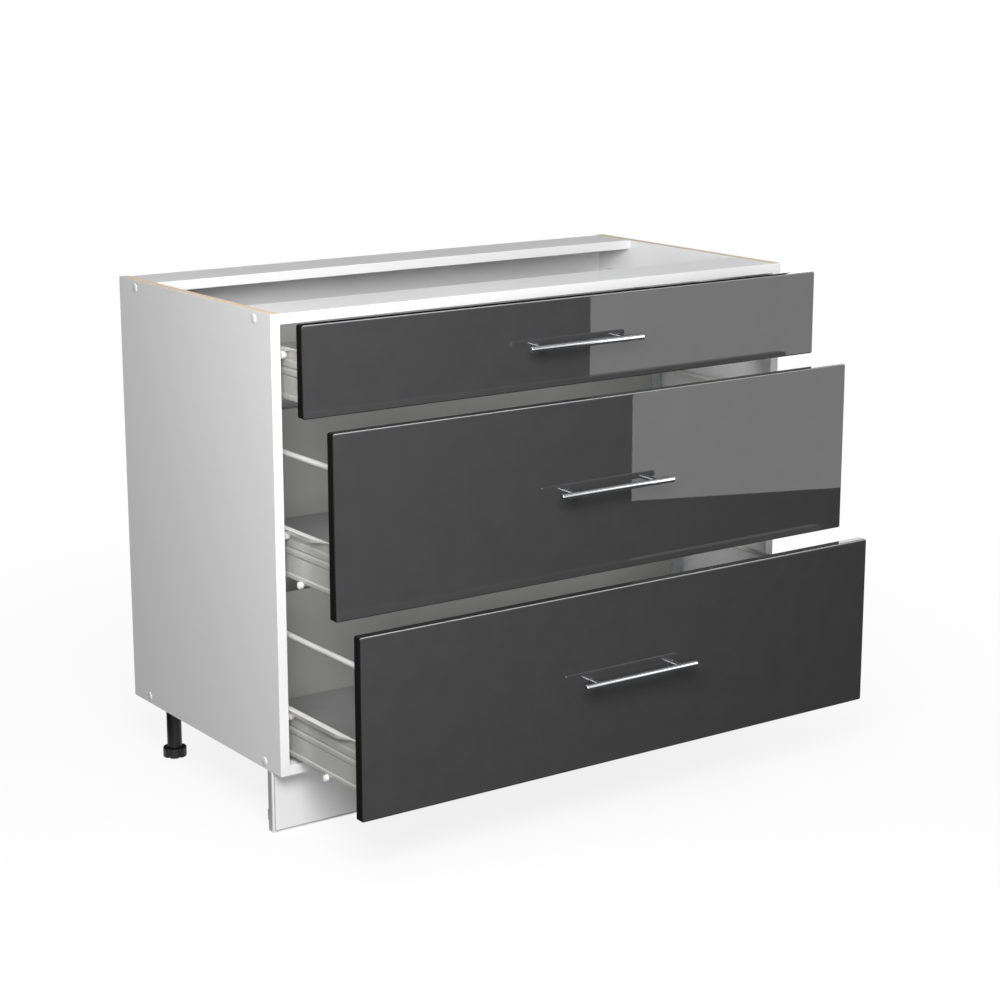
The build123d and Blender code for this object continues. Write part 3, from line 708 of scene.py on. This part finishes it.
def makeFront(name):
    node, body = "front_" + name, "drawer_" + name
    low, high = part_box(node)
    centre, size = (low + high) / 2, high - low
    bm = bmesh.new()
    bmesh.ops.create_cube(bm, size=1)
    bmesh.ops.scale(bm, verts=bm.verts, vec=size)
    bmesh.ops.translate(bm, verts=bm.verts, vec=centre)
    corners = [e for e in bm.edges if abs(e.verts[0].co.y - e.verts[1].co.y) > size.y / 2]
    bevelEdges(bm, corners, panel["corner"], panel["round"])
    face = [e for e in bm.edges if all(v.co.y < low.y + nearly for v in e.verts)]
    bevelEdges(bm, face, panel["edge"], panel["round"])
    back = [e for e in bm.edges if all(v.co.y > high.y - nearly for v in e.verts)]
    bevelEdges(bm, back, panel["backEdge"], 2)
    front = addPiece("glossFront_" + name, bm, body, "highGlossAnthracite",
                     [node], angle=50)
    hole = bmesh.new()
    for way in hands.values():
        past, r = panel["drillPast"], post["hole"]
        spot = Vector((way * bar["spacing"] / 2 * mm, low.y - past * mm, centre.z))
        deep = size.y / mm + 2 * past
        lathe(hole, [(0, 0), (r, 0), (r, deep), (0, deep)], spot, (0, 1, 0), steps=24)
    drill = bpy.data.objects.new("drill", bpy.data.meshes.new("drill"))
    hole.to_mesh(drill.data)
    hole.free()
    bpy.context.scene.collection.objects.link(drill)
    cut = front.modifiers.new("bores", "BOOLEAN")
    cut.object, cut.operation, cut.solver = drill, "DIFFERENCE", "EXACT"
    front.modifiers.remove(front.modifiers["even shading"])
    graph = bpy.context.evaluated_depsgraph_get()
    graph.update()
    bored = bpy.data.meshes.new_from_object(front.evaluated_get(graph))
    front.modifiers.clear()
    front.data = bored
    bpy.data.objects.remove(drill)
    front.modifiers.new("even shading", "WEIGHTED_NORMAL").keep_sharp = True


def makeHandle(name):
    body, rear = "drawer_" + name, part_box("front_" + name)[1].y
    low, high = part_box("handle_bar_" + name)
    y, z = (low.y + high.y) / 2, (low.z + high.z) / 2
    r, long, end = bar["radius"], bar["length"], bar["end"]
    bm = bmesh.new()
    profile = [(0, 0), (r - end, 0), (r, end), (r, long - end), (r - end, long), (0, long)]
    spot = Vector((-long / 2 * mm, y, z))
    lathe(bm, profile, spot, (1, 0, 0), steps=64, arris=bar["arris"])
    addPiece("chromeBar_" + name, bm, body, "polishedChrome", ["handle_bar_" + name])
    posts, heads = bmesh.new(), bmesh.new()
    r, flare, tall = post["radius"], post["foot"], post["footHeight"]
    out, shank = bar["standoff"] - post["short"], post["shank"]
    face = y + bar["standoff"] * mm
    deep = (rear - face) / mm
    for way in hands.values():
        x = way * bar["spacing"] / 2 * mm
        spot = Vector((x, face, z))
        profile = [(0, 0), (flare, 0), (flare, tall), (r, tall), (r, out), (0, out)]
        lathe(posts, profile, spot, (0, -1, 0), steps=40, arris=post["arris"])
        profile = [(0, 0), (shank, 0), (shank, deep), (0, deep)]
        lathe(posts, profile, spot, (0, 1, 0), steps=20)
        placeHead(heads, handleScrew, Vector((x, rear, z)), (0, 1, 0), handleScrew["spin"] * way)
    addPiece("chromePosts_" + name, posts, body, "polishedChrome",
             ["handle_posts_" + name])
    addPiece("handleScrews_" + name, heads, body, "zincPlatedSteel")


for drawer in drawers:
    makeFront(drawer)
    makeHandle(drawer)
print("fronts and handles made")


# drawers
side = {
    "height": 80.0, "length": 450.0, "sheet": 1.2, "bend": 1.2,
    "gap": 14.0, "reach": 11.0, "hem": 6.0, "fold": 2.4,  # wall to web, then the doubled rim
    "under": 1.0, "underBend": 0.1,  # the rim's second layer
    "taperStart": 90.0, "taperEnd": 45.0, "taperSteps": 14, "narrow": 3.0,  # the rim's nose
    "near": 1.0,  # what lies this near to the rim's line is drawn in with it
    "section": [  # across from the web and up from the flange, to below the rim
        (12.4, 0.6), (-1.0, 0.6), (-2.0, 1.6), (-2.0, 5.8),  # flange and swollen lip
        (0.0, 7.8), (0.0, 34.0),  # web
        (0.3, 36.5), (-1.4, 39.5), (-1.4, 44.5), (0.3, 47.5),  # rib
        (0.3, 48.5), (-1.3, 51.5), (-1.3, 59.0), (0.0, 62.0),  # flat band
    ],
}
rearAxle = {
    "radius": 2.45, "inset": 12.0, "level": 64.1, "wallGap": 4.0, "play": 0.2, "plate": 4.2,
    "plateThick": 1.4, "head": 3.2, "headThick": 0.8, "chamfer": 0.6, "arris": 0.2,
}
peg = {
    "fromFront": 125.0, "radius": 5.5, "head": 7.0, "tip": 3.2, "tipRim": 0.6, "slope": 1.2,
    "stub": 2.5, "stubLength": 14.0, "arris": 0.5, "plugAt": 20.8, "plug": 2.0, "plugUp": 11.5,
}
rod = {"radius": 4.5, "fromWall": 24.0, "arris": 0.6}
cup = {
    "radius": 8.0, "length": 14.0, "floor": 2.0, "play": 0.1, "waist": 0.6, "waistAt": 0.6,
    "mouth": 1.4, "arris": 0.3,
}
bracketScrew = {
    "radius": 3.6, "height": 1.6, "levels": (30.0, 65.0), "leaf": 1.5, "leafReach": 28.5,
    "tongueReach": 17.3, "tongueAt": 42.0,
}


def drawerBase(name):  # underside of a drawer's steel sides, in mm
    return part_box("drawer_bottom_" + name)[0].z / mm - side["sheet"]


def taper(y, front):
    # 0 along the straight rim, 1 in its narrow nose, eased between
    start, end = front + side["taperStart"], front + side["taperEnd"]
    t = min(max((start - y) / (start - end), 0), 1)
    return t * t * (3 - 2 * t)


def makeSide(name, hand):
    # made for the left, mirrored for the right
    node = "drawer_side_" + hand + "_" + name
    front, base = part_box("front_" + name)[1].y / mm, drawerBase(name)
    web = side["gap"] + side["sheet"] / 2
    rim = side["gap"] - side["reach"] + side["sheet"] / 2
    top = side["height"] - side["sheet"] / 2
    line = [(web + across, up) for across, up in side["section"]]
    line += [(web, top), (rim, top), (rim, side["height"] - side["hem"])]
    start, end, count = side["taperStart"], side["taperEnd"], side["taperSteps"]
    steps = [end + (start - end) * i / count for i in range(count + 1)]
    stations = [front + y for y in [0.0, *steps, side["length"]]]
    slide, rimAt = side["reach"] - side["narrow"], rim - wallAt + side["near"]

    def nose(point):
        x, y, z = point
        share = taper(y, front)
        if x < rimAt:
            x += slide * share
            if z < base + top - side["near"]:
                z += (side["hem"] - side["fold"]) * share
        return Vector((x, y, z))

    def noseUnder(point):
        x, y, z = point
        return Vector((x + (slide * taper(y, front) if x < rimAt else 0), y, z))

    bm = bmesh.new()
    path = [(x - wallAt, base + z) for x, z in line]
    foldSheet(bm, path, stations, side["bend"], side["sheet"], nose)
    under = base + side["height"] - side["fold"] + side["under"] / 2
    path = [(web - wallAt, under), (rim - wallAt, under)]
    foldSheet(bm, path, stations, side["underBend"], side["under"], noseUnder)
    axleY = front + side["length"] - rearAxle["inset"]
    seat = Vector((web - wallAt, axleY, base + rearAxle["level"])) * mm
    r, plate, thick = rearAxle["radius"], rearAxle["plate"], rearAxle["plateThick"]
    head, tip = rearAxle["head"], rearAxle["head"] - rearAxle["chamfer"]
    out = web - rearAxle["wallGap"] + rearAxle["play"]
    end = out + rearAxle["headThick"]
    profile = [
        (0, -thick), (plate, -thick), (plate, 0), (r, 0), (r, out), (head, out), (tip, end),
        (0, end),
    ]
    lathe(bm, profile, seat, (-1, 0, 0), steps=32, arris=rearAxle["arris"])
    if hand == "right":
        bmesh.ops.scale(bm, verts=bm.verts, vec=(-1, 1, 1))
        bmesh.ops.reverse_faces(bm, faces=bm.faces)
    addPiece("steelSide_" + hand + "_" + name, bm, "drawer_" + name, "drawerSidePowderCoat",
             [node], angle=50)


def makePegs(name):
    low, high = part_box("support_pegs_" + name)
    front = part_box("front_" + name)[1].y
    head, r, tip, stub = peg["head"], peg["radius"], peg["tip"], peg["stub"]
    end, plug, up = head + peg["stubLength"], peg["plug"], peg["plugUp"]
    profile = [
        (0, 0), (tip, 0), (tip, peg["tipRim"]), (r, peg["slope"]), (r, head), (stub, head),
        (stub, end), (0, end),
    ]
    bm = bmesh.new()
    for way in hands.values():
        start = Vector((way * high.x, front + peg["fromFront"] * mm, low.z + r * mm))
        lathe(bm, profile, start, (-way, 0, 0), steps=36, arris=peg["arris"])
        seat = Vector((way * (wallAt - peg["plugAt"]) * mm, start.y, start.z))
        lathe(bm, [(0, 0), (plug, 0), (plug, up), (0, up)], seat, (0, 0, 1), steps=20)
    addPiece("nylonPegs_" + name, bm, "drawer_" + name, "mouldedNylon",
             ["support_pegs_" + name])


def makeRods(name):
    low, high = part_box("gallery_rods_" + name)
    cupLow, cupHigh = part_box("rod_cups_" + name)
    x, z, length = (wallAt - rod["fromWall"]) * mm, (low.z + high.z) / 2, (high.y - low.y) / mm
    r, deep, outer, bore = rod["radius"], cup["length"], cup["radius"], rod["radius"] + cup["play"]
    cupProfile = [
        (0, 0), (outer, 0), (outer - cup["waist"], deep * cup["waistAt"]),
        (outer - cup["mouth"], deep), (bore, deep), (bore, cup["floor"]), (0, cup["floor"]),
    ]
    rods, cups = bmesh.new(), bmesh.new()
    for way in hands.values():
        spot = Vector((way * x, low.y, z))
        profile = [(0, 0), (r, 0), (r, length), (0, length)]
        lathe(rods, profile, spot, (0, 1, 0), steps=40, arris=rod["arris"])
        for y, axis in ((cupLow.y, 1), (cupHigh.y, -1)):
            spot = Vector((way * x, y, z))
            lathe(cups, cupProfile, spot, (0, axis, 0), steps=40, arris=cup["arris"])
    addPiece("coatedRods_" + name, rods, "drawer_" + name, "rodPowderCoat",
             ["gallery_rods_" + name])
    addPiece("rodCups_" + name, cups, "drawer_" + name, "mouldedNylon",
             ["rod_cups_" + name])


def makeBracketScrews(name):
    screw, base = bracketScrew, drawerBase(name)
    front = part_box("front_" + name)[1].y / mm
    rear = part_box("drawer_back_" + name)[0].y / mm - screw["leaf"]
    bm = bmesh.new()
    for way in hands.values():
        for level in screw["levels"]:
            x, z = way * (wallAt - screw["leafReach"]), base + level
            placeHead(bm, screw, Vector((x, front + screw["leaf"], z)) * mm, (0, 1, 0), level)
            placeHead(bm, screw, Vector((x, rear, z)) * mm, (0, -1, 0), level * 2)
            x, y = way * (wallAt - screw["tongueReach"]), front + screw["tongueAt"]
            placeHead(bm, screw, Vector((x, y, z)) * mm, (-way, 0, 0), level * 3)
    addPiece("bracketScrews_" + name, bm, "drawer_" + name, "zincPlatedSteel")


inDrawer = {  # as boards; the drawer's name ends each piece's and each node's
    "drawerFloor_": ("drawer_bottom_", "drawerFloorMelamineWithPaintedShade", "drawer_board", 0.3),
    "drawerBack_": ("drawer_back_", "drawerBackMelamine", "drawer_board", 0.4),
    "cornerBrackets_": ("drawer_brackets_", "zincPlatedSteel", "drawer_steel", 0.3),
}
for drawer in drawers:
    for hand in hands:
        makeSide(drawer, hand)
    for name, (node, material, slot, arris) in inDrawer.items():
        softCopy(name + drawer, node + drawer, material, arris)
    makeBracketScrews(drawer)
    makePegs(drawer)
    if drawer in deepDrawers:
        makeRods(drawer)
print("drawers made")


# runners: the rollers, and the rails on the carcass
roller = {
    "front": 8.0, "rear": 7.5, "width": 7.2, "bore": 2.55, "gap": {"front": 5.0, "rear": 4.0},
    "hub": 4.4, "hubEdge": 0.5, "web": 1.6, "webSink": 0.9, "tread": 1.4, "slope": 0.7,
    "arris": 0.15,
}
railScrew = {
    "radius": 3.6, "height": 1.5, "level": 46.5, "places": (37.0, 197.0, 421.0), "sheet": 1.2,
}


def makeRollers(name, which):
    node = which + "_rollers_" + name
    low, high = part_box(node)
    x, y, z = (wallAt - roller["gap"][which]) * mm, (low.y + high.y) / 2, (low.z + high.z) / 2
    r, width, bore, hub = roller[which], roller["width"], roller["bore"], roller["hub"]
    half = [
        (bore, 0), (hub, 0), (hub, roller["hubEdge"]), (r - roller["web"], roller["webSink"]),
        (r - roller["tread"], 0), (r, roller["slope"]),
    ]
    profile = half + [(across, width - along) for across, along in reversed(half)] + half[:1]
    bm = bmesh.new()
    for way in hands.values():
        spot = Vector((way * x, y, z))
        lathe(bm, profile, spot, (-way, 0, 0), steps=56, arris=roller["arris"])
    addPiece(which + "NylonRollers_" + name, bm, nodes[node]["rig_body"], "mouldedNylon",
             [node])


for drawer in drawers:
    makeRollers(drawer, "front")
    makeRollers(drawer, "rear")
    z = drawerBase(drawer) + railScrew["level"]
    bm = bmesh.new()
    for hand, way in hands.items():
        softCopy("steelRail_" + hand + "_" + drawer, "cabinet_rail_" + hand + "_" + drawer,
                 "railPowderCoat", arris=0.25)
        for y in railScrew["places"]:
            seat = Vector((way * (wallAt - railScrew["sheet"]), y, z)) * mm
            placeHead(bm, railScrew, seat, (-way, 0, 0), y)
    addPiece("railScrews_" + drawer, bm, "root", "zincPlatedSteel")
print("runners made")


# the stage, in metres
camera = {  # fitted to the cabinet's corners in the photo; pitch and yaw in radians
    "place": (-2.15374, -2.93795, 1.34336), "pitch": 0.235, "yaw": 0.613, "lens": 82.93,
    "sensor": 36.0,
}
data = bpy.data.cameras.new("camera")
data.lens, data.sensor_width = camera["lens"], camera["sensor"]
eye = bpy.data.objects.new("camera", data)
eye.location = camera["place"]
eye.rotation_euler = (pi / 2 - camera["pitch"], 0, -camera["yaw"])
bpy.context.scene.collection.objects.link(eye)
bpy.context.scene.camera = eye

floor = {  # from near to far it goes over to plain white
    "size": (28.0, 28.0), "place": (0, 0, 0), "colour": "#f6f6f6", "bounce": "#5c5c5c",
    "near": 0.5, "far": 2.0, "least": 0.85, "roughness": 0.9, "specular": 0.1,
}


def lookedAt(tree):  # 1 for what the eye, a mirror or glass sees, 0 for light that only bounces
    rays = addNode(tree, "LightPath").node.outputs
    seen = rays["Is Camera Ray"]
    for kind in ("Is Glossy Ray", "Is Transmission Ray"):
        seen = addNode(tree, "Math", [seen, rays[kind]], operation="MAXIMUM")
    return seen


def floorMaterial():
    # pale floor that takes the shadow near the cabinet and goes to plain white further out
    material, tree, shader, place = startMaterial("paleFloor")
    seen = lookedAt(tree)
    both = {0: seen, 6: linear(floor["bounce"]), 7: linear(floor["colour"])}
    feed(tree, shader, {
        "Base Color": addNode(tree, "Mix", both, **colourMix),
        "Roughness": floor["roughness"], "Specular IOR Level": floor["specular"],
    })
    white = addNode(tree, "Emission")
    reach = addNode(tree, "VectorMath", [place], "Value", operation="LENGTH")
    away = addNode(tree, "MapRange", [reach, floor["near"], floor["far"], floor["least"], 1])
    share = addNode(tree, "Math", [away, seen], operation="MULTIPLY")
    mixed = addNode(tree, "MixShader", [share, shader.outputs[0], white])
    feed(tree, tree.nodes["Material Output"], {"Surface": mixed})
    return material


def addCard(name, card, material):
    # flat sheet, turned about X, then about Z, then put in its place
    bm = bmesh.new()
    bmesh.ops.create_grid(bm, x_segments=8, y_segments=8, size=0.5)
    bmesh.ops.scale(bm, verts=bm.verts, vec=(*card["size"], 1))
    for key, axis in (("turn", "X"), ("yaw", "Z")):
        turn = Matrix.Rotation(radians(card.get(key, 0)), 3, axis)
        bmesh.ops.rotate(bm, verts=bm.verts, matrix=turn)
    bmesh.ops.translate(bm, verts=bm.verts, vec=card["place"])
    mesh = bpy.data.meshes.new(name)
    bm.to_mesh(mesh)
    bm.free()
    mesh.materials.append(material)
    sheet = bpy.data.objects.new(name, mesh)
    bpy.context.scene.collection.objects.link(sheet)
    sheet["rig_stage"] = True
    return sheet


addCard("floor", floor, floorMaterial())

cards = {
    # studio cards that only gloss and chrome see: size, place, tilt and yaw in degrees, and
    # how bright each shows
    "blackBehind": {"size": (9.0, 2.4), "place": (0.5, 1.9, 1.1), "turn": 90, "glow": 0.02},
    "blackOnFloorBehind": {"size": (4.0, 4.6), "place": (-2.53, 2.0, 0.003), "glow": 0.02},
    "blackOnFloorInFront": {"size": (7.0, 5.0), "place": (1.5, -2.56, 0.003), "glow": 0.07},
    "whiteOpposite": {"size": (9.0, 2.4), "place": (1.5, -4.2, 2.2), "turn": 90, "glow": 0.9},
    "blackAbove": {"size": (16.0, 4.1), "place": (0, -4.35, 4.85), "glow": 0.05},
    "greyAbove": {"size": (16.0, 9.3), "place": (0, 2.35, 4.85), "glow": 0.3},
    "softboxRight": {
        "size": (2.0, 1.75), "place": (2.045, -1.16, 0.964), "turn": 90, "yaw": 20, "glow": 2.7,
    },
    "stripAbove": {"size": (2.4, 0.25), "place": (1.25, -0.6, 2.1), "glow": 1.2},
}


def cardMaterial(name, glow):
    # matt card, shown at one even level whatever lamps stand near it
    material, tree, shader = startMaterial(name)[:3]
    feed(tree, shader, {
        "Base Color": linear("#000000"), "Roughness": 1.0, "Specular IOR Level": 0.0,
        "Emission Color": linear("#ffffff"), "Emission Strength": glow,
    })
    return material


for name, card in cards.items():
    sheet = addCard(name, card, cardMaterial(name, card["glow"]))
    sheet.visible_camera = sheet.visible_diffuse = sheet.visible_shadow = False
    sheet.visible_transmission = False

sky = {"ambient": 0.18, "colour": "#ffffff"}
world = bpy.data.worlds.new("studio")
bpy.context.scene.world = world
world.use_nodes = True
tree = world.node_tree
level = addNode(tree, "MapRange", [lookedAt(tree), 0, 1, sky["ambient"], 1])
feed(tree, tree.nodes["Background"], {"Color": linear(sky["colour"]), "Strength": level})

lamps = {
    # size and radiance of each, where it stands and what it points at; the two inside are strips
    # above the deep drawers, which light what is in them as evenly as the photo does
    "keyFromFront": {
        "size": (1.2, 1.0), "radiance": 14.0, "place": (-1.3, -1.5, 1.68), "aim": (-0.2, 0, 0.5),
    },
    "fillFromCamera": {
        "size": (0.8, 0.8), "radiance": 21.0, "place": (-2.3, -3.1, 1.1), "aim": (0, 0, 0.4),
    },
    "overhead": {
        "size": (1.5, 1.0), "radiance": 1.9, "place": (-0.5, -0.2, 2.6), "aim": (-0.5, -0.2, 0),
    },
    "fillFromRight": {
        "size": (1.4, 1.4), "radiance": 3.4, "place": (2.6, 0.35, 0.9), "aim": (0.5, 0.3, 0.4),
    },
    "insideMiddle": {
        "size": (0.85, 0.05), "radiance": 3.6, "place": (0, 0.03, 0.655), "aim": (0, 0.35, 0.5),
    },
    "insideBottom": {
        "size": (0.85, 0.05), "radiance": 3.6, "place": (0, 0.03, 0.37), "aim": (0, 0.35, 0.215),
    },
    "fillFromBehind": {
        "size": (1.6, 1.6), "radiance": 2.4, "place": (2.3, 1.9, 0.95), "aim": (0.3, 0.2, 0.45),
    },
}
for name, lamp in lamps.items():
    data = bpy.data.lights.new(name, "AREA")
    data.shape = "RECTANGLE"
    data.size, data.size_y = lamp["size"]
    data.energy = lamp["radiance"] * pi * lamp["size"][0] * lamp["size"][1]
    light = bpy.data.objects.new(name, data)
    light.location = lamp["place"]
    aim = Vector(lamp["aim"]) - Vector(lamp["place"])
    light.rotation_euler = aim.to_track_quat("-Z", "Y").to_euler()
    light.visible_camera = False
    bpy.context.scene.collection.objects.link(light)
bpy.context.scene.view_settings.view_transform = "Standard"
print("stage made")

low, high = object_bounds()
print("scene box", [round(v, 4) for v in (*low, *high)])
